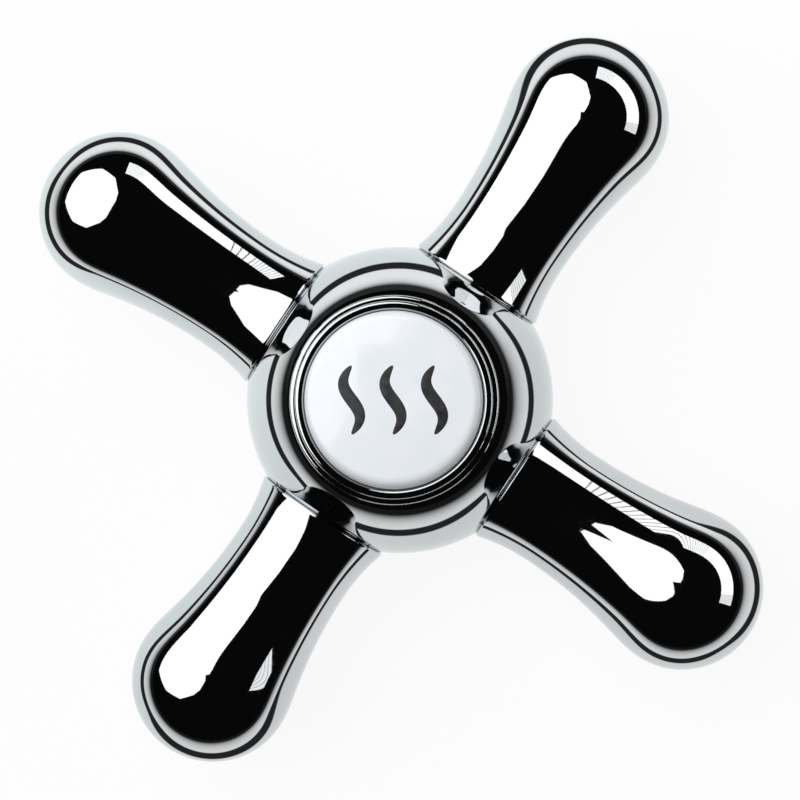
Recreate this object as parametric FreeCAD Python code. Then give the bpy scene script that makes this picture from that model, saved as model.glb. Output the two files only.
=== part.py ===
import FreeCAD, Part
import math
import os

# Cross-head tap handle, in millimetres.
# The origin is the centre of the collar's bottom rim, and +Z runs up the stem axis to the index disc.
# The spokes lie along +X, +Y, -X and -Y.

# Hub: a ball on a short neck and a collar, one brass casting
hub_ball_r = 13.7
spoke_axis_z = 14.0          # height of the ball's centre and of the spoke axes
collar_height = 3.0
collar_wall = 2.4
collar_edge_round = 0.5
neck_wall = 1.4

# Stem socket, open below
skirt_bore_r = 9.0           # clears the valve's bonnet
skirt_mouth_chamfer = 0.4
socket_depth = 9.0           # from the skirt's ceiling up to the web
spline_teeth = 20
spline_minor_r = 3.6
spline_tooth_height = 0.45
pilot_depth = 1.5            # plain lead-in below the teeth
pilot_clearance = 0.2
web_thickness = 3.0          # what the screw clamps to the stem

# Spokes: turned brass, flared at the root and ball-ended, each with a stud on its root
seat_depth = 1.4             # how far each spoke's flat is cut into the ball
neck_r = 5.6                 # the spoke's thinnest radius
neck_out = 5.15              # from the flat to the thinnest place
root_flare = 0.7             # growth in radius from the neck to the root
root_edge_round = 0.22
grip_ball_r = 7.3
grip_ball_out = 17.9         # from the flat to the centre of the ball end
stud_r = 2.5
stud_end_chamfer = 0.5
stud_clearance = 0.05
stud_end_room = 0.5          # left beyond the stud in its tapped hole
stud_hole_wall = 0.7         # left between the tapped hole and the index recess

# Index: a stepped bezel with a hollow spigot, a porcelain disc and an O-ring that grips the recess
bezel_r = 9.15
bezel_land_width = 0.5
bezel_land_height = 0.85     # outer land, above the hub
bezel_lip_width = 0.8
bezel_lip_height = 1.5       # inner lip, above the hub
bezel_edge_round = 0.25
bezel_floor = 0.6            # under the disc
land_margin = 0.12           # hub land left outside the bezel
disc_clearance = 0.05
disc_edge_height = 1.5
disc_edge_round = 0.8
disc_crown = 0.3
spigot_length = 4.0
spigot_clearance = 0.12
spigot_end_chamfer = 0.3
o_ring_section = 1.3
o_ring_fit = 0.02
o_ring_drop = 2.2            # from the hub's top to the middle of the ring
groove_wall = 0.95
groove_side_room = 0.1
recess_end_room = 2.1        # from the spigot's end to the recess floor

# Stem screw and its spring washer, under the index
screw_r = 2.0
screw_length = 10.0
screw_tip_chamfer = 0.5
screw_hole_clearance = 0.25
screw_head_r = 3.9
screw_head_height = 2.4
screw_head_round = 1.2
screw_drive_width = 0.9
screw_drive_length = 4.4
screw_drive_depth = 1.4
head_clearance = 0.6
washer_r = 3.5
washer_thickness = 0.9
washer_clearance = 0.1
washer_split = 0.5
washer_split_lean_deg = 20.0

# Radii that follow: the index recess is built up from the screw's head outwards
spigot_bore_r = screw_head_r + head_clearance
groove_r = spigot_bore_r + groove_wall
recess_r = groove_r + o_ring_section + 2 * o_ring_fit
spigot_r = recess_r - spigot_clearance
lip_r = bezel_r - bezel_land_width
cup_r = lip_r - bezel_lip_width
land_r = bezel_r + land_margin
collar_r = skirt_bore_r + collar_wall
collar_neck_r = skirt_bore_r + neck_wall
spline_major_r = spline_minor_r + spline_tooth_height
root_r = neck_r + root_flare
seat_x = hub_ball_r - seat_depth


def ball_height(radius):
    """Height of the ball's surface above its centre, at a distance from the stem axis."""
    return math.sqrt(hub_ball_r ** 2 - radius ** 2)


# Levels that follow, from the top of the hub down
hub_top_z = spoke_axis_z + ball_height(land_r)
ball_foot_z = spoke_axis_z - ball_height(collar_neck_r)
recess_floor_z = hub_top_z - spigot_length - recess_end_room
socket_top_z = recess_floor_z - web_thickness
skirt_ceiling_z = socket_top_z - socket_depth
head_seat_z = recess_floor_z + washer_thickness

ORIGIN = FreeCAD.Vector(0, 0, 0)
UP = FreeCAD.Vector(0, 0, 1)
OUT = FreeCAD.Vector(1, 0, 0)
SPOKE_NAMES = ["spoke_right", "spoke_back", "spoke_left", "spoke_front"]
SPARE = 1.0                  # how far a cutting tool runs past the face it cuts


def point(x, z):
    """A point of an outline, in the XZ plane."""
    return FreeCAD.Vector(x, 0, z)


def line(start, end):
    return Part.LineSegment(start, end).toShape()


def path(*points):
    """Straight edges through the points in turn."""
    return [line(start, end) for start, end in zip(points, points[1:])]


def rounded_corner(start, corner, end):
    """A quarter round from start to end, in place of the corner."""
    centre = start + end - corner
    middle = centre + (corner - centre).normalize() * (start - centre).Length
    return Part.Arc(start, middle, end).toShape()


def arc_about(centre, start, end):
    """The shorter arc from start to end about a centre."""
    middle = centre + ((start + end) * 0.5 - centre).normalize() * (start - centre).Length
    return Part.Arc(start, middle, end).toShape()


def turned(edges, base=ORIGIN, axis=UP):
    """The solid that a closed outline sweeps in a full turn."""
    return Part.Face(Part.Wire(edges)).revolve(base, axis, 360)


def upright_cylinder(radius, bottom_z, top_z):
    return Part.makeCylinder(radius, top_z - bottom_z, point(0, bottom_z), UP)


def at_quarter(shape, quarter):
    """A copy of a shape, turned about the stem axis to one of the four spokes."""
    copy = shape.copy()
    copy.rotate(ORIGIN, UP, 90 * quarter)
    return copy


def at_each_spoke(shape):
    return [at_quarter(shape, quarter) for quarter in range(len(SPOKE_NAMES))]


def ball_on_collar():
    """The casting's round body: collar, neck, and ball up to the land under the bezel."""
    ball_foot = point(collar_neck_r, ball_foot_z)
    ball_top = point(land_r, hub_top_z)
    low = collar_edge_round
    high = collar_height - collar_edge_round
    rim = collar_r - collar_edge_round
    outline = path(ball_top, point(0, hub_top_z), ORIGIN, point(rim, 0))
    outline.append(rounded_corner(point(rim, 0), point(collar_r, 0), point(collar_r, low)))
    outline.append(line(point(collar_r, low), point(collar_r, high)))
    outline.append(rounded_corner(point(collar_r, high), point(collar_r, collar_height),
                                  point(rim, collar_height)))
    outline += path(point(rim, collar_height), point(collar_neck_r, collar_height), ball_foot)
    outline.append(arc_about(point(0, spoke_axis_z), ball_foot, ball_top))
    body = turned(outline)
    # the outline's own seam is turned to lie between two spokes
    body.rotate(ORIGIN, UP, 45)
    return body


def spline_socket():
    """The toothed hole for the stem, as a tool: alternate crests and roots round a circle."""
    corners = []
    for index in range(2 * spline_teeth + 1):
        turn = math.pi * index / spline_teeth
        radius = spline_major_r if index % 2 else spline_minor_r
        corners.append(FreeCAD.Vector(radius * math.cos(turn), radius * math.sin(turn), skirt_ceiling_z))
    return Part.Face(Part.makePolygon(corners)).extrude(UP * socket_depth)


def hub():
    flat = Part.makeBox(seat_depth + SPARE, 2 * hub_ball_r, 2 * hub_ball_r,
                        FreeCAD.Vector(seat_x, -hub_ball_r, spoke_axis_z - hub_ball_r))
    hole_depth = seat_x - recess_r - stud_hole_wall
    tapped_hole = Part.makeCylinder(stud_r + stud_clearance, hole_depth + SPARE,
                                    point(seat_x + SPARE, spoke_axis_z), OUT * -1)
    mouth = skirt_mouth_chamfer
    mouth_cone = Part.makeCone(skirt_bore_r + mouth, skirt_bore_r, mouth)
    pilot_r = spline_major_r + pilot_clearance
    tools = at_each_spoke(flat) + at_each_spoke(tapped_hole)
    tools += [
        upright_cylinder(recess_r, recess_floor_z, hub_top_z + SPARE),
        upright_cylinder(screw_r + screw_hole_clearance, socket_top_z - SPARE, recess_floor_z + SPARE),
        upright_cylinder(skirt_bore_r, -SPARE, skirt_ceiling_z),
        upright_cylinder(pilot_r, skirt_ceiling_z - SPARE, skirt_ceiling_z + pilot_depth),
        spline_socket(),
        mouth_cone,
    ]
    return ball_on_collar().cut(tools)


def spoke():
    """The spoke along +X: stud, root, flare, neck, and a grip that swells into its ball end."""
    stud_end_x = recess_r + stud_hole_wall + stud_end_room
    neck_x = seat_x + neck_out
    ball_x = seat_x + grip_ball_out

    def at(x, radius):
        return point(x, spoke_axis_z + radius)

    root_edge = at(seat_x + root_edge_round, root_r)
    root_face_edge = at(seat_x, root_r - root_edge_round)
    root_corner = at(seat_x, root_r)
    neck = at(neck_x, neck_r)
    tip = at(ball_x + grip_ball_r, 0)
    ball_centre = at(ball_x, 0)
    # the flare is an arc level at the neck that passes through the root's edge
    flare_run = neck_x - root_edge.x
    flare_r = (flare_run ** 2 + root_flare ** 2) / (2 * root_flare)
    # the grip is an arc level at the neck that runs smoothly into the ball end
    grip_run = ball_x - neck_x
    grip_r = (grip_run ** 2 + neck_r ** 2 - grip_ball_r ** 2) / (2 * (grip_ball_r - neck_r))
    grip_centre = at(neck_x, neck_r + grip_r)
    swell = ball_centre + (grip_centre - ball_centre).normalize() * grip_ball_r
    outline = path(tip, at(stud_end_x, 0), at(stud_end_x, stud_r - stud_end_chamfer),
                   at(stud_end_x + stud_end_chamfer, stud_r), at(seat_x, stud_r), root_face_edge)
    outline.append(rounded_corner(root_face_edge, root_corner, root_edge))
    outline.append(arc_about(at(neck_x, neck_r + flare_r), root_edge, neck))
    outline.append(arc_about(grip_centre, neck, swell))
    outline.append(arc_about(ball_centre, swell, tip))
    return turned(outline, point(0, spoke_axis_z), OUT)


def index_bezel():
    """A turned cap: spigot with an O-ring groove below, stepped rim and shallow cup above."""
    end_z = hub_top_z - spigot_length
    ring_z = hub_top_z - o_ring_drop
    half_groove = o_ring_section / 2 + groove_side_room
    floor_z = hub_top_z + bezel_floor
    land_z = hub_top_z + bezel_land_height
    lip_z = hub_top_z + bezel_lip_height
    edge = bezel_edge_round
    outline = path(point(0, hub_top_z), point(spigot_bore_r, hub_top_z), point(spigot_bore_r, end_z),
                   point(spigot_r - spigot_end_chamfer, end_z), point(spigot_r, end_z + spigot_end_chamfer),
                   point(spigot_r, ring_z - half_groove), point(groove_r, ring_z - half_groove),
                   point(groove_r, ring_z + half_groove), point(spigot_r, ring_z + half_groove),
                   point(spigot_r, hub_top_z), point(bezel_r, hub_top_z), point(bezel_r, land_z - edge))
    outline.append(rounded_corner(point(bezel_r, land_z - edge), point(bezel_r, land_z),
                                  point(bezel_r - edge, land_z)))
    outline += path(point(bezel_r - edge, land_z), point(lip_r, land_z), point(lip_r, lip_z - edge))
    outline.append(rounded_corner(point(lip_r, lip_z - edge), point(lip_r, lip_z), point(lip_r - edge, lip_z)))
    outline.append(line(point(lip_r - edge, lip_z), point(cup_r + edge, lip_z)))
    outline.append(rounded_corner(point(cup_r + edge, lip_z), point(cup_r, lip_z), point(cup_r, lip_z - edge)))
    outline += path(point(cup_r, lip_z - edge), point(cup_r, floor_z), point(0, floor_z), point(0, hub_top_z))
    return turned(outline)


def index_disc():
    """A porcelain disc with a soft edge and a slight crown."""
    disc_r = cup_r - disc_clearance
    bottom_z = hub_top_z + bezel_floor
    edge_z = bottom_z + disc_edge_height
    crown_edge_r = disc_r - disc_edge_round
    crown_r = (crown_edge_r ** 2 + disc_crown ** 2) / (2 * disc_crown)
    top = point(0, edge_z + disc_crown)
    crown_edge = point(crown_edge_r, edge_z)
    outline = path(top, point(0, bottom_z), point(disc_r, bottom_z), point(disc_r, edge_z - disc_edge_round))
    outline.append(rounded_corner(point(disc_r, edge_z - disc_edge_round), point(disc_r, edge_z), crown_edge))
    outline.append(arc_about(point(0, edge_z + disc_crown - crown_r), crown_edge, top))
    return turned(outline)


def index_o_ring():
    middle_r = groove_r + o_ring_fit + o_ring_section / 2
    return Part.makeTorus(middle_r, o_ring_section / 2, point(0, hub_top_z - o_ring_drop), UP)


def stem_screw():
    """A pan-head screw with a cross recess, its thread left plain at full diameter."""
    tip_z = head_seat_z - screw_length
    top_z = head_seat_z + screw_head_height
    shoulder = point(screw_head_r, top_z - screw_head_round)
    brow = point(screw_head_r - screw_head_round, top_z)
    outline = path(brow, point(0, top_z), point(0, tip_z), point(screw_r - screw_tip_chamfer, tip_z),
                   point(screw_r, tip_z + screw_tip_chamfer), point(screw_r, head_seat_z),
                   point(screw_head_r, head_seat_z), shoulder)
    outline.append(rounded_corner(shoulder, point(screw_head_r, top_z), brow))
    slot = Part.makeBox(screw_drive_length, screw_drive_width, screw_drive_depth + SPARE,
                        FreeCAD.Vector(-screw_drive_length / 2, -screw_drive_width / 2, top_z - screw_drive_depth))
    return turned(outline).cut([slot, at_quarter(slot, 1)])


def screw_washer():
    """A spring washer, drawn flat as the screw holds it, with its leaning split."""
    top_z = recess_floor_z + washer_thickness
    ring = upright_cylinder(washer_r, recess_floor_z, top_z)
    hole = upright_cylinder(screw_r + washer_clearance, recess_floor_z - SPARE, top_z + SPARE)
    split = Part.makeBox(washer_r + SPARE, washer_split, washer_thickness + 2 * SPARE,
                         FreeCAD.Vector(0, -washer_split / 2, recess_floor_z - SPARE))
    split.rotate(point(0, recess_floor_z + washer_thickness / 2), OUT, washer_split_lean_deg)
    return ring.cut([hole, split])


def main():
    os.makedirs("parts", exist_ok=True)
    pieces = {
        "hub": hub(),
        "index_bezel": index_bezel(),
        "index_disc": index_disc(),
        "index_o_ring": index_o_ring(),
        "stem_screw": stem_screw(),
        "screw_washer": screw_washer(),
    }
    pieces.update(zip(SPOKE_NAMES, at_each_spoke(spoke())))
    for node, shape in pieces.items():
        shape.exportStep("parts/" + node + ".step")


main()
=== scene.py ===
import math
import bmesh
import bpy
import numpy as np
from mathutils import Matrix, Vector

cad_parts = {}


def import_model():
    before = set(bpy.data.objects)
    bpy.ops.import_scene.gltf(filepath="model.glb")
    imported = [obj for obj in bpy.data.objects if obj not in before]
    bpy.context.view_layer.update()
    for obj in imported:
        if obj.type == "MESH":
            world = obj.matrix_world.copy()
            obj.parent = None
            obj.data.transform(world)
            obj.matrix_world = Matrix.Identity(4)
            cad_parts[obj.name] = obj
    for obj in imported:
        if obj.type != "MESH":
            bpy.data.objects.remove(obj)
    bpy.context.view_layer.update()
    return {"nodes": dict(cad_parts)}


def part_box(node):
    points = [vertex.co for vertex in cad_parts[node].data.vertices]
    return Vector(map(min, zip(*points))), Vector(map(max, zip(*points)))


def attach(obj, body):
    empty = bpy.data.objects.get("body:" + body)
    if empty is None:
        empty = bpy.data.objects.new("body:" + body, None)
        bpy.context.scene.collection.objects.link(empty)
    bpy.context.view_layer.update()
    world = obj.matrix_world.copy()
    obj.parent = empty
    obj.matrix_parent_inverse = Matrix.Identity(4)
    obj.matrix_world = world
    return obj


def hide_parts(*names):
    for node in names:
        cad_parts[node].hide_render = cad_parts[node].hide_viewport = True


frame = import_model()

# Cross-head tap handle in chrome plate, with a porcelain index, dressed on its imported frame.
# Sizes are in millimetres and angles in degrees. Meshes are written in metres, in the frame's own place.

MM = 0.001
# points round the hub, a multiple of the corners of its splined socket
COLUMNS = 480
SPOKES = ["spoke_right", "spoke_back", "spoke_left", "spoke_front"]


def node_box(node):
    """A node's lowest and highest corners, in millimetres."""
    low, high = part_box(node)
    return low / MM, high / MM


hub_high = node_box("hub")[1]
spoke_low, spoke_high = node_box("spoke_right")
bezel_low, bezel_high = node_box("index_bezel")
disc_low, disc_high = node_box("index_disc")
screw_low, screw_high = node_box("stem_screw")

# Hub casting: a ball on a neck and a collar
spoke_axis_z = (spoke_low.z + spoke_high.z) / 2
hub_top_z = hub_high.z
seat_x = hub_high.x
hub_ball_r = 13.7
hub_land_r = math.sqrt(hub_ball_r ** 2 - (hub_top_z - spoke_axis_z) ** 2)
collar_r = 11.4
collar_height = 3.0
collar_edge_round = 0.5
collar_neck_r = 10.4

# Stem socket and index recess, inside the hub
skirt_bore_r = 9.0
skirt_mouth_chamfer = 0.4
recess_r = 6.79
recess_depth = 6.1
web_thickness = 3.0
web_hole_r = 2.25
plate_reach = 0.1
socket_depth = 9.0
pilot_r = 4.25
pilot_depth = 1.5
spline_teeth = 20
spline_minor_r = 3.6
spline_major_r = 4.05

# Spokes: turned, flared at the root and ball-ended, on a threaded stud
ball_end_r = (spoke_high.z - spoke_low.z) / 2
ball_end_x = spoke_high.x - ball_end_r
neck_run = 5.15
neck_x = seat_x + neck_run
neck_r = 5.6
root_r = 6.3
root_edge_round = 0.22
ball_ease_reach = 7.0
ball_ease_spread = 2.6
stud_end_x = spoke_low.x
stud_r = 2.5
stud_end_chamfer = 0.5
stud_thread_pitch = 0.8
stud_thread_depth = 0.35
tapped_hole_r = 2.55
tapped_hole_wall = 0.7
tapped_hole_end_x = recess_r + tapped_hole_wall

# Index: a stepped bezel with a hollow spigot, and the porcelain disc in its cup
bezel_r = bezel_high.x
bezel_land_height = 0.85
bezel_land_width = 0.5
bezel_land_z = hub_top_z + bezel_land_height
bezel_lip_z = bezel_high.z
bezel_lip_r = bezel_r - bezel_land_width
bezel_lip_width = 0.8
bezel_edge_round = 0.25
cup_r = bezel_lip_r - bezel_lip_width
cup_floor_z = disc_low.z
spigot_end_z = bezel_low.z
spigot_r = 6.67
spigot_bore_r = 4.5
spigot_end_chamfer = 0.3
groove_r = 5.45
groove_drop = 2.2
groove_middle_z = hub_top_z - groove_drop
groove_half = 0.75
disc_r = disc_high.x
disc_edge_round = 0.8
disc_foot_chamfer = 0.1
disc_rise = 0.3
disc_edge_z = disc_high.z - disc_rise
# painted shade on the porcelain's rim: how far its clear middle lies off the disc's own, and the radii where
# it starts and where it is darkest
painted_shade_offset = Vector((0.4, -0.2, 0))
painted_shade_start_r = 7.1
painted_shade_end_r = 7.9

# Heat mark: three rising waves on the porcelain, in fired ink, which reaches the disc's full height
wave_count = 3
wave_spacing = 3.6
wave_height = 6.0
wave_sway = 0.72
wave_stroke = 0.55
ink_proud = 0.012
disc_top_z = disc_high.z - ink_proud
disc_crown = disc_top_z - disc_edge_z

# Stem screw: pan head with a cross recess
screw_tip_z = screw_low.z
screw_top_z = screw_high.z
screw_head_height = 2.4
screw_seat_z = screw_top_z - screw_head_height
screw_r = 2.0
screw_tip_chamfer = 0.5
screw_head_r = screw_high.x
screw_head_round = 1.2
screw_thread_pitch = 0.7
screw_thread_depth = 0.3
drive_width = 0.9
drive_length = 4.4
drive_depth = 1.4

# Camera: above the handle, turned so that no spoke stands upright, leaning a little to its own right
view_turn = 33.7
view_lean = 2.8
view_width = 71.6
view_lens = 200.0

# Floor, as the chrome mirrors it: a painted glow in place of lit paper, with a white sheet on a dark band,
# and a table beyond whose painted light fades away. Edges are left, right, near and far, as the picture
# shows them. The floor lies a hair under the collar, so that the two share no plane. white_share is how far
# the camera sees it as plain white, and levels_reach is how far out from a corner's centre its grey levels
# run.
floor_z = -0.05
floor_reach = 2000.0
white_share = 0.9
sheet_edges = (-53.0, 43.5, -43.0, 39.5)
sheet_corner_r = 6.0
table_edges = (-72.0, 57.0, -60.0, 55.0)
table_corner_r = 22.0
levels_reach = 230.0

# Lights: turns are counted from the picture's right-hand side, and angles from straight up
light_away = 1500.0
softbox_turn = 148.0
softbox_angle = 43.5
camera_body_away = 405.0
camera_body_width = 150.0
camera_body_height = 110.0
strip_turns = (-8.0, 57.0)
strip_angles = (57.0, 77.0)
slat_pitch = 1.7
overhead_away = 700.0
overhead_angle = 10.0
overhead_width = 500.0
overhead_watts = 1.7

# Levels of light, where 1 is white
light_level = 1.6
strip_end_level = 1.2
fill_level = 0.2
dark_level = 0.003


# Shapes

def turns(columns):
    """Angles spread evenly round a circle, in radians."""
    return [2 * math.pi * column / columns for column in range(columns)]


def ring(radius, height, columns=COLUMNS):
    """A ring of points round the Z axis."""
    return [Vector((radius * math.cos(turn), radius * math.sin(turn), height)) for turn in turns(columns)]


def rings(outline, columns=COLUMNS):
    """A ring for each radius and height of an outline."""
    return [ring(radius, height, columns) for radius, height in outline]


def arc(centre, start, end, steps):
    """Points of an arc about a centre, from start to end the shorter way round, both ends included."""
    radius = math.dist(centre, start)
    first = math.atan2(start[1] - centre[1], start[0] - centre[0])
    sweep = math.atan2(end[1] - centre[1], end[0] - centre[0]) - first
    sweep = (sweep + math.pi) % (2 * math.pi) - math.pi
    angles = [first + sweep * step / steps for step in range(steps + 1)]
    return [(centre[0] + radius * math.cos(angle), centre[1] + radius * math.sin(angle)) for angle in angles]


def rounded(start, corner, end, steps=8):
    """A quarter round from start to end, in place of a square corner."""
    return arc((start[0] + end[0] - corner[0], start[1] + end[1] - corner[1]), start, end, steps)


def eased(outline, joint, reach, spread):
    """Eases the change of curve at one point of an outline, so that mirrored lines cross it smoothly."""
    points = np.array(outline)
    run = np.insert(np.cumsum(np.linalg.norm(np.diff(points, axis=0), axis=1)), 0, 0.0)
    run -= run[joint]
    width = spread * np.clip(1 - (run / reach) ** 2, 0, 1) ** 2
    taps = np.linspace(-1, 1, 41)
    weights = (1 - np.abs(taps)) / np.sum(1 - np.abs(taps))
    places = run[:, None] + width[:, None] * taps
    axes = [np.interp(places, run, axis) @ weights for axis in points.T]
    return [tuple(place) for place in np.stack(axes, axis=1)]


def placed(name, data):
    """A new object in the scene, at the frame's own origin."""
    made = bpy.data.objects.new(name, data)
    bpy.context.scene.collection.objects.link(made)
    return made


def surface(name, places, faces):
    """A new mesh object, from points in millimetres."""
    mesh = bpy.data.meshes.new(name)
    mesh.from_pydata([place * MM for place in places], [], faces)
    return placed(name, mesh)


def opened(piece):
    """A piece's mesh, ready for work on its points, edges and faces."""
    work = bmesh.new()
    work.from_mesh(piece.data)
    return work


def put_back(piece, work):
    """Turns every face outwards and puts the worked mesh back into its piece."""
    bmesh.ops.recalc_face_normals(work, faces=work.faces)
    work.to_mesh(piece.data)
    work.free()


def skinned(name, rows, loop=False):
    """A piece stretched over rings of points; loop joins the last ring to the first."""
    columns = len(rows[0])
    lower_rows = range(len(rows) if loop else len(rows) - 1)
    faces = []
    for lower in lower_rows:
        upper = (lower + 1) % len(rows)
        for column in range(columns):
            after = (column + 1) % columns
            faces.append((lower * columns + column, lower * columns + after,
                          upper * columns + after, upper * columns + column))
    piece = surface(name, [place for row in rows for place in row], faces)
    work = opened(piece)
    # an end that runs to a point closes there
    bmesh.ops.remove_doubles(work, verts=work.verts, dist=1e-4 * MM)
    put_back(piece, work)
    return piece


def smoothed(piece, crease=28.0):
    """Shades a piece smooth up to its real edges, with broad faces kept true."""
    piece.data.shade_smooth()
    piece.data.set_sharp_from_angle(angle=math.radians(crease))
    even = piece.modifiers.new("true_faces", "WEIGHTED_NORMAL")
    even.keep_sharp = True


def threaded(radius, depth, pitch, start, end, columns):
    """Rings of a screw thread: a V groove that climbs one pitch in each turn."""
    rings_per_pitch = 10
    # a slope over 1 leaves a flat on the thread's crest
    flank_slope = 1.15
    count = round((end - start) / pitch * rings_per_pitch)
    rows = []
    for index in range(count + 1):
        height = start + (end - start) * index / count
        row = []
        for turn in turns(columns):
            climb = (height / pitch - turn / (2 * math.pi)) % 1
            groove = max(0.0, 1 - abs(2 * climb - 1) * flank_slope)
            reach = radius - depth * groove
            row.append(Vector((reach * math.cos(turn), reach * math.sin(turn), height)))
        rows.append(row)
    return rows


def splined_ring(height):
    """One ring of the stem socket's teeth, straight-sided between crests and roots."""
    corners = []
    for index, turn in enumerate(turns(2 * spline_teeth)):
        radius = spline_major_r if index % 2 else spline_minor_r
        corners.append(Vector((radius * math.cos(turn), radius * math.sin(turn), height)))
    flank = COLUMNS // len(corners)
    row = []
    for index, corner in enumerate(corners):
        after = corners[(index + 1) % len(corners)]
        row += [corner.lerp(after, step / flank) for step in range(flank)]
    return row


def sink_hole(work, mouth_row, end_row, rim, outward):
    """Sinks a blind hole from its mouth to its end, and fills the flat face between the mouth and a rim."""
    mouth = [work.verts.new(place * MM) for place in mouth_row]
    end = [work.verts.new(place * MM) for place in end_row]
    lip = []
    for index in range(len(mouth)):
        before = index - 1
        work.faces.new((mouth[before], mouth[index], end[index], end[before]))
        lip.append(work.edges.get((mouth[before], mouth[index])))
    work.faces.new(end)
    bmesh.ops.triangle_fill(work, use_beauty=True, edges=rim + lip, normal=outward)


def cut_spoke_seats(piece):
    """Cuts the four flats across the ball and sinks a tapped hole into each."""
    work = opened(piece)
    axis = Vector((0, 0, spoke_axis_z))
    for quarter in range(len(SPOKES)):
        quarter_turn = Matrix.Rotation(quarter * math.pi / 2, 3, "Z")
        outward = quarter_turn @ Vector((1, 0, 0))
        whole = work.verts[:] + work.edges[:] + work.faces[:]
        cut = bmesh.ops.bisect_plane(work, geom=whole, dist=1e-5 * MM, plane_co=outward * seat_x * MM,
                                     plane_no=outward, clear_outer=True)
        rim = [part for part in cut["geom_cut"] if isinstance(part, bmesh.types.BMEdge)]
        lie_down = quarter_turn @ Matrix.Rotation(math.pi / 2, 3, "Y")
        rows = rings([(tapped_hole_r, seat_x), (tapped_hole_r, tapped_hole_end_x)], columns=48)
        mouth, end = [[lie_down @ place + axis for place in row] for row in rows]
        sink_hole(work, mouth, end, rim, outward)
    put_back(piece, work)


def hub_casting():
    """The ball, neck and collar, with the index recess above and the stem socket below."""
    rim = collar_r - collar_edge_round
    foot_z = spoke_axis_z - math.sqrt(hub_ball_r ** 2 - collar_neck_r ** 2)
    web_top_z = hub_top_z - recess_depth
    web_bottom_z = web_top_z - web_thickness
    skirt_ceiling_z = web_bottom_z - socket_depth
    pilot_end_z = skirt_ceiling_z + pilot_depth
    collar = [(skirt_bore_r + skirt_mouth_chamfer, 0.0)]
    collar += rounded((rim, 0.0), (collar_r, 0.0), (collar_r, collar_edge_round))
    collar += rounded((collar_r, collar_height - collar_edge_round), (collar_r, collar_height),
                      (rim, collar_height))
    collar += [(collar_neck_r, collar_height)]
    ball = arc((0.0, spoke_axis_z), (collar_neck_r, foot_z), (hub_land_r, hub_top_z), 150)
    recess = [(recess_r, hub_top_z), (recess_r, web_top_z), (web_hole_r, web_top_z),
              (web_hole_r, web_bottom_z)]
    skirt = [(pilot_r, pilot_end_z), (pilot_r, skirt_ceiling_z), (skirt_bore_r, skirt_ceiling_z),
             (skirt_bore_r, skirt_mouth_chamfer)]
    rows = rings(collar + ball + recess)
    rows += [splined_ring(web_bottom_z), splined_ring(pilot_end_z)]
    rows += rings(skirt)
    piece = skinned("hub_casting", rows, loop=True)
    cut_spoke_seats(piece)
    smoothed(piece, crease=14.0)
    return piece


def bare_inside(piece, bare):
    """Gives the hub's socket and recess, where plating doesn't reach, the metal of the casting."""
    piece.data.materials.append(bare)
    for face in piece.data.polygons:
        across = math.hypot(face.center.x, face.center.y) / MM
        if across < skirt_bore_r + plate_reach and face.center.z / MM < hub_top_z - plate_reach:
            face.material_index = 1


def turned_spoke(name, quarter):
    """A spoke turned in one piece: threaded stud, flared root, waist and ball end."""
    columns = 192
    flare_run = neck_x - seat_x - root_edge_round
    flare_r = (flare_run ** 2 + (root_r - neck_r) ** 2) / (2 * (root_r - neck_r))
    grip_run = ball_end_x - neck_x
    grip_r = (grip_run ** 2 + neck_r ** 2 - ball_end_r ** 2) / (2 * (ball_end_r - neck_r))
    grip_centre = Vector((neck_r + grip_r, neck_x))
    ball_centre = Vector((0, ball_end_x))
    swell = ball_centre + (grip_centre - ball_centre).normalized() * ball_end_r
    stud_end = [(0.0, stud_end_x), (stud_r - stud_end_chamfer, stud_end_x)]
    root = rounded((root_r - root_edge_round, seat_x), (root_r, seat_x), (root_r, seat_x + root_edge_round),
                   steps=6)
    outline = root[:-1]
    outline += arc((neck_r + flare_r, neck_x), root[-1], (neck_r, neck_x), 40)[:-1]
    outline += arc(grip_centre, (neck_r, neck_x), swell, 90)[:-1]
    swell_index = len(outline)
    outline += arc(ball_centre, swell, (0.0, ball_end_x + ball_end_r), 130)
    outline = eased(outline, swell_index, ball_ease_reach, ball_ease_spread)
    rows = rings(stud_end, columns)
    rows += threaded(stud_r, stud_thread_depth, stud_thread_pitch, stud_end_x + stud_end_chamfer,
                     seat_x, columns)
    rows += rings(outline, columns)
    piece = skinned(name, rows)
    lie_down = Matrix.Translation((0, 0, spoke_axis_z * MM)) @ Matrix.Rotation(math.pi / 2, 4, "Y")
    piece.data.transform(Matrix.Rotation(quarter * math.pi / 2, 4, "Z") @ lie_down)
    smoothed(piece)
    return piece


def bezel_ring():
    """The stepped ring, with the disc's cup above and the grooved spigot below."""
    edge = bezel_edge_round
    outline = [(0.0, hub_top_z), (spigot_bore_r, hub_top_z), (spigot_bore_r, spigot_end_z),
               (spigot_r - spigot_end_chamfer, spigot_end_z), (spigot_r, spigot_end_z + spigot_end_chamfer),
               (spigot_r, groove_middle_z - groove_half), (groove_r, groove_middle_z - groove_half),
               (groove_r, groove_middle_z + groove_half), (spigot_r, groove_middle_z + groove_half),
               (spigot_r, hub_top_z), (bezel_r, hub_top_z)]
    outline += rounded((bezel_r, bezel_land_z - edge), (bezel_r, bezel_land_z),
                       (bezel_r - edge, bezel_land_z))
    outline += [(bezel_lip_r, bezel_land_z)]
    outline += rounded((bezel_lip_r, bezel_lip_z - edge), (bezel_lip_r, bezel_lip_z),
                       (bezel_lip_r - edge, bezel_lip_z))
    outline += rounded((cup_r + edge, bezel_lip_z), (cup_r, bezel_lip_z), (cup_r, bezel_lip_z - edge))
    outline += [(cup_r, cup_floor_z), (0.0, cup_floor_z)]
    piece = skinned("bezel_ring", rings(outline, columns=360))
    smoothed(piece)
    return piece


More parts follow.
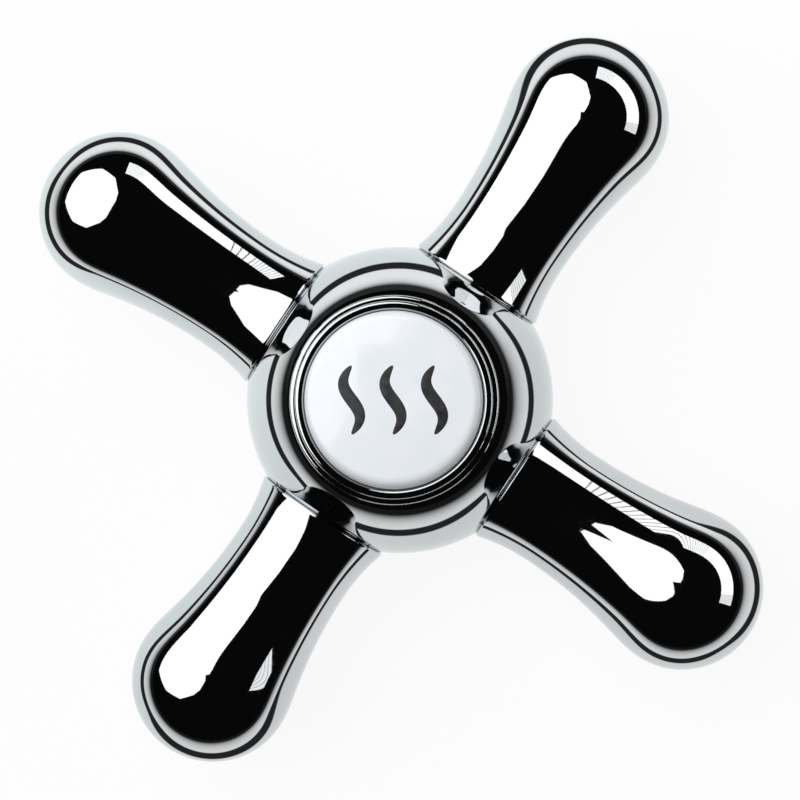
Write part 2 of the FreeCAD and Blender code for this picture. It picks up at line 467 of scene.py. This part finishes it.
def crown_height(across):
    """Height of the porcelain's crown at a distance from the middle."""
    edge_r = disc_r - disc_edge_round
    crown_r = (edge_r ** 2 + disc_crown ** 2) / (2 * disc_crown)
    return disc_top_z - crown_r + math.sqrt(crown_r ** 2 - across ** 2)


def porcelain_disc():
    """The disc, flat below, round at its edge and crowned above."""
    edge_r = disc_r - disc_edge_round
    outline = [(0.0, cup_floor_z), (disc_r - disc_foot_chamfer, cup_floor_z),
               (disc_r, cup_floor_z + disc_foot_chamfer)]
    outline += rounded((disc_r, disc_edge_z - disc_edge_round), (disc_r, disc_edge_z), (edge_r, disc_edge_z),
                       steps=16)
    steps = 30
    for step in range(1, steps + 1):
        across = edge_r * (1 - step / steps)
        outline.append((across, crown_height(across)))
    piece = skinned("porcelain_disc", rings(outline, columns=240))
    smoothed(piece, crease=40.0)
    return piece


def heat_mark():
    """Three waves that swell at their middle, each a low bead of ink on the crown."""
    strokes = []
    steps = 60
    upright = Matrix.Rotation(math.radians(view_turn), 3, "Z")
    for index in range(wave_count):
        wave_x = (index - (wave_count - 1) / 2) * wave_spacing
        rows = []
        for step in range(steps + 1):
            share = step / steps
            phase = 2 * math.pi * share
            place = Vector((wave_x + wave_sway * math.sin(phase), wave_height * (share - 0.5), 0))
            heading = Vector((wave_sway * 2 * math.pi * math.cos(phase), wave_height, 0)).normalized()
            side = Vector((heading.y, -heading.x, 0))
            half = wave_stroke * math.sin(math.pi * share) ** 0.5
            bead = ink_proud * min(1.0, half / wave_stroke * 2)
            row = []
            for turn in turns(16):
                off = place + side * half * math.cos(turn)
                lift = crown_height(off.length) + bead * math.sin(turn)
                row.append(upright @ Vector((off.x, off.y, lift)))
            rows.append(row)
        stroke = skinned("heat_wave_%d" % (index + 1), rows)
        smoothed(stroke, crease=80.0)
        strokes.append(stroke)
    return strokes


def stem_screw():
    """The pan-headed screw, with its thread and its cross recess."""
    columns = 96
    rows = rings([(0.0, screw_tip_z), (screw_r - screw_tip_chamfer, screw_tip_z)], columns)
    rows += threaded(screw_r, screw_thread_depth, screw_thread_pitch, screw_tip_z + screw_tip_chamfer,
                     screw_seat_z, columns)
    shoulder = (screw_head_r, screw_top_z - screw_head_round)
    brow = (screw_head_r - screw_head_round, screw_top_z)
    head = [(screw_head_r, screw_seat_z)] + rounded(shoulder, (screw_head_r, screw_top_z), brow)
    piece = skinned("stem_screw_threaded", rows + rings(head, columns))
    sink_cross_recess(piece)
    smoothed(piece)
    return piece


def sink_cross_recess(piece):
    """Closes the top of the screw's head, with the driver's cross sunk into it."""
    wide = drive_length / 2
    narrow = drive_width / 2
    up = Vector((0, 0, 1))
    arm = [Vector((wide, -narrow, 0)), Vector((wide, narrow, 0)), Vector((narrow, narrow, 0))]
    cross = []
    for quarter in range(4):
        quarter_turn = Matrix.Rotation(quarter * math.pi / 2, 3, "Z")
        cross += [quarter_turn @ place for place in arm]
    mouth = [place + up * screw_top_z for place in cross]
    end = [place + up * (screw_top_z - drive_depth) for place in cross]
    work = opened(piece)
    brow = [edge for edge in work.edges if edge.is_boundary]
    sink_hole(work, mouth, end, brow, up)
    put_back(piece, work)


# Finishes

def linear(code):
    """A colour written as sRGB hex, as the linear values that Blender works in."""
    channels = [int(code[place:place + 2], 16) / 255 for place in (0, 2, 4)]
    return [c / 12.92 if c <= 0.04045 else ((c + 0.055) / 1.055) ** 2.4 for c in channels] + [1.0]


def per_mm(size):
    """The texture scale that gives a pattern of this size in millimetres."""
    return 1 / (size * MM)


def wire(tree, node, links):
    """Gives a node's sockets a value each, or another node's output."""
    for socket, source in links.items():
        if isinstance(source, bpy.types.NodeSocket):
            tree.links.new(source, node.inputs[socket])
        else:
            node.inputs[socket].default_value = source


def add(tree, kind, links=None, stops=None, **settings):
    """Adds a node with its settings and links; stops are a ramp's places and colours."""
    made = tree.nodes.new(kind)
    for name, value in settings.items():
        setattr(made, name, value)
    wire(tree, made, links or {})
    if stops:
        ramp = made.color_ramp
        while len(ramp.elements) < len(stops):
            ramp.elements.new(1.0)
        for element, (place, colour) in zip(ramp.elements, stops):
            element.position = place
            element.color = colour
    return made


def grey(level):
    """A colourless value, where 1 is white."""
    return (level, level, level, 1.0)


def finish_tree(name):
    """A new material, with its node tree, its shader and the coordinates that patterns hang on."""
    material = bpy.data.materials.new(name)
    material.use_nodes = True
    tree = material.node_tree
    shader = tree.nodes["Principled BSDF"]
    place = add(tree, "ShaderNodeTexCoord").outputs["Object"]
    return material, tree, shader, place


def chrome_plate():
    """Bright chrome on buffed brass: a mirror, with the slow waves that hand buffing leaves under the
    plate and a faint haze where cloths have wiped it."""
    material, tree, shader, place = finish_tree("chrome_plate_on_buffed_brass")
    haze = add(tree, "ShaderNodeTexNoise", {"Vector": place, "Scale": per_mm(7.0), "Detail": 3.0})
    tint = add(tree, "ShaderNodeValToRGB", {"Fac": haze.outputs["Fac"]},
               stops=[(0.35, linear("D0D3D6")), (0.65, linear("D8DADB"))])
    # wiping marks are finer than a pixel, so they are drawn at 0.4 mm
    wiping = add(tree, "ShaderNodeTexNoise", {"Vector": place, "Scale": per_mm(0.4), "Detail": 4.0})
    gloss = add(tree, "ShaderNodeMapRange", {"Value": wiping.outputs["Fac"], "From Min": 0.3,
                                             "From Max": 0.8, "To Min": 0.02, "To Max": 0.05})
    waves = add(tree, "ShaderNodeTexNoise", {"Vector": place, "Scale": per_mm(5.0), "Detail": 1.0})
    buffing = add(tree, "ShaderNodeBump", {"Height": waves.outputs["Fac"], "Strength": 1.0,
                                           "Distance": 0.004 * MM})
    wire(tree, shader, {"Base Color": tint.outputs["Color"], "Roughness": gloss.outputs["Result"],
                        "Normal": buffing.outputs["Normal"], "Metallic": 1.0})
    return material


def bare_brass():
    """Cast and broached brass with no plate: warm and satin, dulled in patches by coolant and air."""
    material, tree, shader, place = finish_tree("cast_brass_left_bare")
    patches = add(tree, "ShaderNodeTexNoise", {"Vector": place, "Scale": per_mm(2.5), "Detail": 5.0})
    tint = add(tree, "ShaderNodeValToRGB", {"Fac": patches.outputs["Fac"]},
               stops=[(0.35, linear("9C7A3C")), (0.7, linear("C7A45C"))])
    dull = add(tree, "ShaderNodeMapRange", {"Value": patches.outputs["Fac"], "To Min": 0.48, "To Max": 0.3})
    grit = add(tree, "ShaderNodeTexNoise", {"Vector": place, "Scale": per_mm(0.25), "Detail": 2.0})
    sand = add(tree, "ShaderNodeBump", {"Height": grit.outputs["Fac"], "Strength": 0.6,
                                        "Distance": 0.02 * MM})
    wire(tree, shader, {"Base Color": tint.outputs["Color"], "Roughness": dull.outputs["Result"],
                        "Normal": sand.outputs["Normal"], "Metallic": 1.0})
    return material


def glazed_porcelain():
    """Porcelain under a clear glaze: a cool white body that varies a little in depth, with painted shade
    that greys one side of the rim, beneath a glassy skin with the faint ripple of firing."""
    material, tree, shader, place = finish_tree("glazed_porcelain")
    body = add(tree, "ShaderNodeTexNoise", {"Vector": place, "Scale": per_mm(3.0), "Detail": 4.0})
    tint = add(tree, "ShaderNodeValToRGB", {"Fac": body.outputs["Fac"]},
               stops=[(0.3, linear("EAEFF4")), (0.7, linear("F0F4F8"))])
    # painted shade: its clear middle lies off the disc's own, so the rim greys most on one side
    clear = add(tree, "ShaderNodeVectorMath", {0: place, 1: (1, 1, 0), 2: painted_shade_offset * MM},
                operation="MULTIPLY_ADD")
    across = add(tree, "ShaderNodeVectorMath", {0: clear.outputs["Vector"]}, operation="LENGTH")
    # painted shade: the rim darkens to 0.65 of its colour, most on one side
    rim_painted_shade = add(tree, "ShaderNodeMapRange", {"Value": across.outputs["Value"],
                                              "From Min": painted_shade_start_r * MM,
                                              "From Max": painted_shade_end_r * MM,
                                              "To Min": 1.0, "To Max": 0.65})
    shade = add(tree, "ShaderNodeVectorMath", {0: tint.outputs["Color"], "Scale": rim_painted_shade.outputs["Result"]},
                operation="SCALE")
    ripple = add(tree, "ShaderNodeTexNoise", {"Vector": place, "Scale": per_mm(1.2), "Detail": 1.0})
    skin = add(tree, "ShaderNodeBump", {"Height": ripple.outputs["Fac"], "Strength": 1.0,
                                        "Distance": 0.003 * MM})
    depth = add(tree, "ShaderNodeMapRange", {"Value": body.outputs["Fac"], "To Min": 0.1, "To Max": 0.22})
    wire(tree, shader, {"Base Color": shade.outputs["Vector"], "Roughness": depth.outputs["Result"],
                        "Normal": skin.outputs["Normal"], "IOR": 1.5, "Coat Weight": 1.0,
                        "Coat Roughness": 0.04})
    return material


def fired_ink():
    """Ceramic ink fired into the glaze: near black, thinner and greyer where the brush left less of it."""
    material, tree, shader, place = finish_tree("fired_ceramic_ink")
    brush = add(tree, "ShaderNodeTexNoise", {"Vector": place, "Scale": per_mm(0.8), "Detail": 3.0})
    tint = add(tree, "ShaderNodeValToRGB", {"Fac": brush.outputs["Fac"]},
               stops=[(0.35, linear("1F1F21")), (0.75, linear("3A3A3C"))])
    gloss = add(tree, "ShaderNodeMapRange", {"Value": brush.outputs["Fac"], "To Min": 0.25, "To Max": 0.4})
    wire(tree, shader, {"Base Color": tint.outputs["Color"], "Roughness": gloss.outputs["Result"],
                        "IOR": 1.5})
    return material


def moulded_rubber():
    """Moulded nitrile rubber: soot black and matt, with the grain of the mould."""
    material, tree, shader, place = finish_tree("moulded_nitrile_rubber")
    grain = add(tree, "ShaderNodeTexNoise", {"Vector": place, "Scale": per_mm(0.15), "Detail": 3.0})
    tint = add(tree, "ShaderNodeValToRGB", {"Fac": grain.outputs["Fac"]},
               stops=[(0.3, linear("121212")), (0.8, linear("242424"))])
    rough = add(tree, "ShaderNodeMapRange", {"Value": grain.outputs["Fac"], "To Min": 0.55, "To Max": 0.75})
    mould = add(tree, "ShaderNodeBump", {"Height": grain.outputs["Fac"], "Strength": 0.5,
                                         "Distance": 0.01 * MM})
    wire(tree, shader, {"Base Color": tint.outputs["Color"], "Roughness": rough.outputs["Result"],
                        "Normal": mould.outputs["Normal"]})
    return material


def turned_steel():
    """Stainless steel off the lathe: grey and satin, with the fine rings that the tool leaves."""
    material, tree, shader, place = finish_tree("turned_stainless_steel")
    # tool rings are a few hundredths apart, so they are drawn about 0.3 mm apart, which this scale gives
    tool = add(tree, "ShaderNodeTexWave", {"Vector": place, "Scale": per_mm(0.15 * 2 * math.pi),
                                           "Distortion": 0.6}, wave_type="RINGS", rings_direction="Z")
    tint = add(tree, "ShaderNodeValToRGB", {"Fac": tool.outputs["Fac"]},
               stops=[(0.2, linear("96958F")), (0.8, linear("B4B3AE"))])
    rough = add(tree, "ShaderNodeMapRange", {"Value": tool.outputs["Fac"], "To Min": 0.25, "To Max": 0.36})
    lathe = add(tree, "ShaderNodeBump", {"Height": tool.outputs["Fac"], "Strength": 0.3,
                                         "Distance": 0.005 * MM})
    wire(tree, shader, {"Base Color": tint.outputs["Color"], "Roughness": rough.outputs["Result"],
                        "Normal": lathe.outputs["Normal"], "Metallic": 1.0})
    return material


# Studio

view_right = Vector((math.cos(math.radians(view_turn)), math.sin(math.radians(view_turn)), 0))
view_up = Vector((-view_right.y, view_right.x, 0))
middle = Vector((0, 0, spoke_axis_z))


def seen_toward(turn, angle):
    """A direction, by its turn from the picture's right-hand side and its angle from straight up."""
    level = view_right * math.cos(math.radians(turn)) + view_up * math.sin(math.radians(turn))
    return level * math.sin(math.radians(angle)) + Vector((0, 0, math.cos(math.radians(angle))))


def facing(place, toward, upright):
    """A place and a turn that look from place to toward, with upright as near to up as it can be."""
    back = (place - toward).normalized()
    side = upright.cross(back).normalized()
    turned = Matrix((side, back.cross(side), back)).transposed().to_4x4()
    return Matrix.Translation(place * MM) @ turned


def camera():
    """The camera, at the photograph's angle."""
    lens = bpy.data.cameras.new("photo_camera")
    lens.lens = view_lens
    lens.sensor_width = 36.0
    lens.clip_start = 0.01
    lens.clip_end = 10.0
    away = view_width * view_lens / lens.sensor_width
    made = placed("photo_camera", lens)
    made.matrix_world = facing(middle + seen_toward(0, view_lean) * away, middle, view_up)
    bpy.context.scene.camera = made


def mirrored_only(made, material):
    """Gives a card its finish; the chrome mirrors it, and the camera doesn't see it."""
    made.data.materials.append(material)
    made.visible_camera = False
    made.visible_shadow = False
    return made


def card(name, outline, turn, angle, away, material):
    """A flat card that faces the handle."""
    made = surface(name, [Vector((x, y, 0)) for x, y in outline], [range(len(outline))])
    made.matrix_world = facing(middle + seen_toward(turn, angle) * away, middle, Vector((0, 0, 1)))
    return mirrored_only(made, material)


def arched_card(name, panels, angles, away, material):
    """Panels bent round the handle, each between two turns, and all between two angles from straight up."""
    places = []
    faces = []
    for first, last in panels:
        steps = max(1, round((last - first) / 3))
        for step in range(steps + 1):
            turn = first + (last - first) * step / steps
            places += [middle + seen_toward(turn, angle) * away for angle in angles]
            if step:
                end = len(places)
                faces.append((end - 4, end - 3, end - 1, end - 2))
    return mirrored_only(surface(name, places, faces), material)


def stage_tree(name):
    """A new material for the studio, with its empty node tree."""
    material = bpy.data.materials.new(name)
    material.use_nodes = True
    material.node_tree.nodes.clear()
    return material, material.node_tree


def glow(name, level):
    """An even glow without colour."""
    material, tree = stage_tree(name)
    light = add(tree, "ShaderNodeEmission", {"Color": grey(1.0), "Strength": level})
    add(tree, "ShaderNodeOutputMaterial", {"Surface": light.outputs["Emission"]})
    return material


def slope(tree, place, direction, start, end, low, high):
    """A level that changes evenly along a direction, from one place in millimetres to another."""
    along = add(tree, "ShaderNodeVectorMath", {0: place, 1: direction}, operation="DOT_PRODUCT")
    return add(tree, "ShaderNodeMapRange", {"Value": along.outputs["Value"], "From Min": start * MM,
                                            "From Max": end * MM, "To Min": low, "To Max": high})


def past_edges(tree, place, direction, low, high):
    """How far a place lies beyond two facing edges, in metres, and zero between them."""
    along = add(tree, "ShaderNodeVectorMath", {0: place, 1: direction}, operation="DOT_PRODUCT")
    off = add(tree, "ShaderNodeMath", {0: along.outputs["Value"], 1: (low + high) / 2 * MM},
              operation="SUBTRACT")
    aside = add(tree, "ShaderNodeMath", {0: off.outputs["Value"]}, operation="ABSOLUTE")
    past = add(tree, "ShaderNodeMath", {0: aside.outputs["Value"], 1: (high - low) / 2 * MM},
               operation="SUBTRACT")
    return add(tree, "ShaderNodeMath", {0: past.outputs["Value"], 1: 0.0}, operation="MAXIMUM")


def rectangle(tree, place, edges, corner_r, levels):
    """Grey levels, by the distance in millimetres out from the edge of a round-cornered rectangle."""
    left, right, near, far = edges
    aside = past_edges(tree, place, view_right, left + corner_r, right - corner_r)
    ahead = past_edges(tree, place, view_up, near + corner_r, far - corner_r)
    beyond = add(tree, "ShaderNodeCombineXYZ", {"X": aside.outputs["Value"], "Y": ahead.outputs["Value"]})
    out = add(tree, "ShaderNodeVectorMath", {0: beyond.outputs["Vector"]}, operation="LENGTH")
    run = add(tree, "ShaderNodeMapRange", {"Value": out.outputs["Value"], "From Max": levels_reach * MM})
    return add(tree, "ShaderNodeValToRGB", {"Fac": run.outputs["Result"]},
               stops=[((past + corner_r) / levels_reach, grey(level)) for past, level in levels])


def matt_paper():
    """Matt white paper, near white to the camera, with the handle's own soft shadow on it. The chrome sees a
    painted
    glow: a white sheet on a dark band, and a table beyond it painted to fade into the room. From below it is
    clear."""
    material, tree = stage_tree("matt_white_paper")
    place = add(tree, "ShaderNodeTexCoord").outputs["Object"]
    fibre = add(tree, "ShaderNodeTexNoise", {"Vector": place, "Scale": per_mm(0.8), "Detail": 3.0})
    tint = add(tree, "ShaderNodeValToRGB", {"Fac": fibre.outputs["Fac"]},
               stops=[(0.3, linear("F2F2F1")), (0.7, linear("F7F7F6"))])
    paper = add(tree, "ShaderNodeBsdfDiffuse", {"Color": tint.outputs["Color"]})
    # painted light: the sheet glows brighter and cooler on the softbox's side
    sheet = rectangle(tree, place, sheet_edges, sheet_corner_r, [(-0.6, 1.0), (0.6, 0.015)])
    lit_side = seen_toward(125, 90)
    lit = slope(tree, place, lit_side, -20, 20, 0.0, 1.0)
    cast = add(tree, "ShaderNodeValToRGB", {"Fac": lit.outputs["Result"]},
               stops=[(0.0, linear("E8EAEA")), (1.0, linear("F6FCFC"))])
    lit_sheet = add(tree, "ShaderNodeVectorMath", {0: sheet.outputs["Color"], 1: cast.outputs["Color"]},
                    operation="MULTIPLY")
    # painted light: the table beyond the dark band fades away, and the whole glow brightens toward its far
    # side
    table = rectangle(tree, place, table_edges, table_corner_r,
                      [(-1, 0.01), (1, 0.93), (19, 0.83), (58, 0.55), (98, 0.28), (133, 0.1), (173, 0.0)])
    far_side_painted_light = slope(tree, place, view_up, 40, 160, 1.0, 2.2)
    both = add(tree, "ShaderNodeVectorMath", {0: lit_sheet.outputs["Vector"], 1: table.outputs["Color"]},
               operation="ADD")
    # painted light: the glow that the chrome mirrors in place of lit paper
    mirrored = add(tree, "ShaderNodeEmission", {"Color": both.outputs["Vector"],
                                                "Strength": far_side_painted_light.outputs["Result"]})
    white = add(tree, "ShaderNodeEmission", {"Color": grey(1.0), "Strength": 1.0})
    clear = add(tree, "ShaderNodeBsdfTransparent")
    seen = add(tree, "ShaderNodeLightPath")
    side = add(tree, "ShaderNodeNewGeometry")
    unseen = add(tree, "ShaderNodeMixShader", {0: seen.outputs["Is Glossy Ray"], 1: paper.outputs["BSDF"],
                                               2: mirrored.outputs["Emission"]})
    share = add(tree, "ShaderNodeMath", {0: seen.outputs["Is Camera Ray"], 1: white_share},
                operation="MULTIPLY")
    above = add(tree, "ShaderNodeMixShader", {0: share.outputs["Value"], 1: unseen.outputs["Shader"],
                                              2: white.outputs["Emission"]})
    below = add(tree, "ShaderNodeMath", {0: seen.outputs["Is Camera Ray"], 1: side.outputs["Backfacing"]},
                operation="MULTIPLY")
    shown = add(tree, "ShaderNodeMixShader", {0: below.outputs["Value"], 1: above.outputs["Shader"],
                                              2: clear.outputs["BSDF"]})
    add(tree, "ShaderNodeOutputMaterial", {"Surface": shown.outputs["Shader"]})
    return material


def floor():
    """The paper that the handle lies on."""
    corners = [(-floor_reach, -floor_reach), (floor_reach, -floor_reach), (floor_reach, floor_reach),
               (-floor_reach, floor_reach)]
    made = surface("paper_floor", [Vector((x, y, floor_z)) for x, y in corners], [(0, 1, 2, 3)])
    made.data.materials.append(matt_paper())


def world():
    """White to the camera, an even grey to matt surfaces, and to the chrome a dark room."""
    room = bpy.data.worlds.new("studio_room")
    bpy.context.scene.world = room
    room.use_nodes = True
    tree = room.node_tree
    tree.nodes.clear()
    mirrored = add(tree, "ShaderNodeBackground", {"Color": grey(1.0), "Strength": dark_level})
    fill = add(tree, "ShaderNodeBackground", {"Color": grey(1.0), "Strength": fill_level})
    white = add(tree, "ShaderNodeBackground", {"Color": grey(1.0), "Strength": 1.0})
    seen = add(tree, "ShaderNodeLightPath")
    unseen = add(tree, "ShaderNodeMixShader", {0: seen.outputs["Is Glossy Ray"],
                                               1: fill.outputs["Background"],
                                               2: mirrored.outputs["Background"]})
    shown = add(tree, "ShaderNodeMixShader", {0: seen.outputs["Is Camera Ray"], 1: unseen.outputs["Shader"],
                                              2: white.outputs["Background"]})
    add(tree, "ShaderNodeOutputWorld", {"Surface": shown.outputs["Shader"]})


def slats(start, width, count):
    """Narrow panels side by side, each between two turns."""
    firsts = [start + slat_pitch * index for index in range(count)]
    return [(first, first + width) for first in firsts]


def overhead_fill():
    """A soft lamp over the handle, for the porcelain and the paper; the chrome doesn't mirror it."""
    light = bpy.data.lights.new("overhead_fill", "AREA")
    light.shape = "DISK"
    light.size = overhead_width * MM
    light.energy = overhead_watts
    lamp = placed("overhead_fill", light)
    lamp.matrix_world = facing(middle + seen_toward(softbox_turn, overhead_angle) * overhead_away,
                               middle, view_up)
    lamp.visible_camera = False
    lamp.visible_glossy = False


def studio():
    floor()
    world()
    # an uneven octagon, with the two corners nearest the camera cut off
    softbox = [(-1200, 330), (-1080, -480), (-480, -1110), (660, -1080), (1230, -390), (1320, 390),
               (840, 960), (480, 1140), (-420, 1110), (-780, 960)]
    card("softbox", softbox, softbox_turn, softbox_angle, light_away, glow("softbox_cloth", light_level))
    # the camera's own body stands dark before the softbox's edge; its first axis runs up the picture
    high = camera_body_height / 2
    wide = camera_body_width / 2
    body = card("camera_body", [(-high, -wide), (high, -wide), (high, wide), (-high, wide)], 0, view_lean,
                camera_body_away, glow("camera_black", dark_level))
    body.visible_diffuse = False
    # the strip light breaks up into slats at both ends, and those of its lower end are dimmer
    strip = [strip_turns] + slats(start=57.3, width=1.4, count=12)
    arched_card("strip_light", strip, strip_angles, light_away, glow("strip_light_tube", light_level))
    strip_end = slats(start=-20.0, width=1.5, count=7)
    arched_card("strip_light_end", strip_end, strip_angles, light_away,
                glow("strip_light_end_tube", strip_end_level))
    overhead_fill()


# Assembly

def dressed(piece, finish, slot, *nodes):
    """Gives a piece its finish and fixes it to the handle. Its slot is not used."""
    piece.data.materials.clear()
    piece.data.materials.append(finish)
    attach(piece, "root")
    if nodes:
        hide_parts(*nodes)
    return piece


chrome = chrome_plate()
steel = turned_steel()
ink = fired_ink()
hub = dressed(hub_casting(), chrome, "chrome_plate", "hub")
bare_inside(hub, bare_brass())
for quarter, node in enumerate(SPOKES):
    dressed(turned_spoke(node + "_turned", quarter), chrome, "chrome_plate", node)
dressed(bezel_ring(), chrome, "chrome_plate", "index_bezel")
dressed(porcelain_disc(), glazed_porcelain(), "porcelain", "index_disc")
for stroke in heat_mark():
    dressed(stroke, ink, "porcelain")
dressed(stem_screw(), steel, "screw_steel", "stem_screw")
for node, finish in (("index_o_ring", moulded_rubber()), ("screw_washer", steel)):
    frame["nodes"][node].data.materials.clear()
    frame["nodes"][node].data.materials.append(finish)

camera()
studio()
bpy.context.scene.view_settings.view_transform = "Standard"
